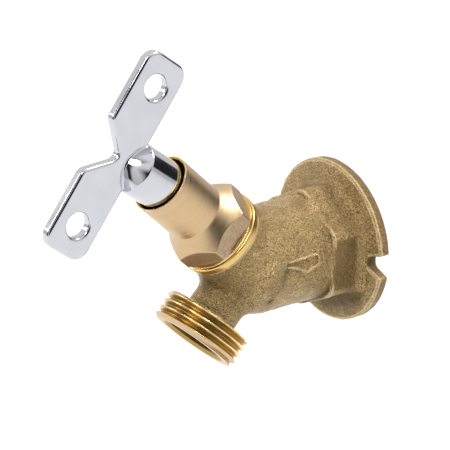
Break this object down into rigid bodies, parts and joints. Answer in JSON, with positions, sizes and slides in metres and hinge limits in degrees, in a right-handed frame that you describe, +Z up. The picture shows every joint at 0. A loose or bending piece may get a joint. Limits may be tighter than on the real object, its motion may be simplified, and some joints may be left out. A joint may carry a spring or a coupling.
{
  "type": "loose key hose bib",
  "caption": "Cast brass wall-flanged hose bib with angled lock-shield bonnet, male hose outlet and a removable chrome loose key.",
  "frame": {"origin": "centre of the inlet hole in the plane of the flange's wall face", "axes": "+Y out of the inlet into the wall, +Z up; the valve stands out from the wall along -Y and the plane x = 0 holds the inlet, bonnet and outlet axes"},
  "size_m": [0.0478, 0.0999, 0.0961],
  "materials": {
    "cast_brass": "sand-cast, satin with a fine grain; machined faces bright",
    "turned_brass": "turned and lightly brushed",
    "gasket_fibre": "matt fibre",
    "graphite_packing": "matt graphite",
    "black_rubber": "matt rubber",
    "chrome_plate": "mirror chrome plate"
  },
  "bodies": {
    "root": {"valve_body": "cast_brass", "lock_shield_bonnet": "turned_brass", "bonnet_gasket": "gasket_fibre", "packing_washer": "turned_brass", "lower_packing_ring": "graphite_packing", "upper_packing_ring": "graphite_packing", "gland_follower": "turned_brass", "packing_nut": "turned_brass"},
    "disc_carrier": {"disc_holder": "turned_brass", "seat_washer": "black_rubber", "washer_screw": "turned_brass"},
    "stem": {"stem": "turned_brass"},
    "loose_key": {"loose_key": "chrome_plate"}
  },
  "joints": [
    {"name": "stem_travel", "type": "slide", "parent": "root", "child": "disc_carrier", "axis": [0, -0.7193, 0.6947], "range_m": [0, 0.0037]},
    {"name": "stem_turn", "type": "hinge", "parent": "disc_carrier", "child": "stem", "pos_m": [0, -0.0314, 0], "axis": [0, -0.7193, 0.6947], "range_deg": [0, 630]},
    {"name": "key_pull", "type": "slide", "parent": "stem", "child": "loose_key", "axis": [0, -0.7944, 0.6074], "range_m": [0, 0.03]}
  ],
  "couplings": [
    {"joint": "stem_turn", "follows": "stem_travel", "rad_per_m": 2968}
  ]
}
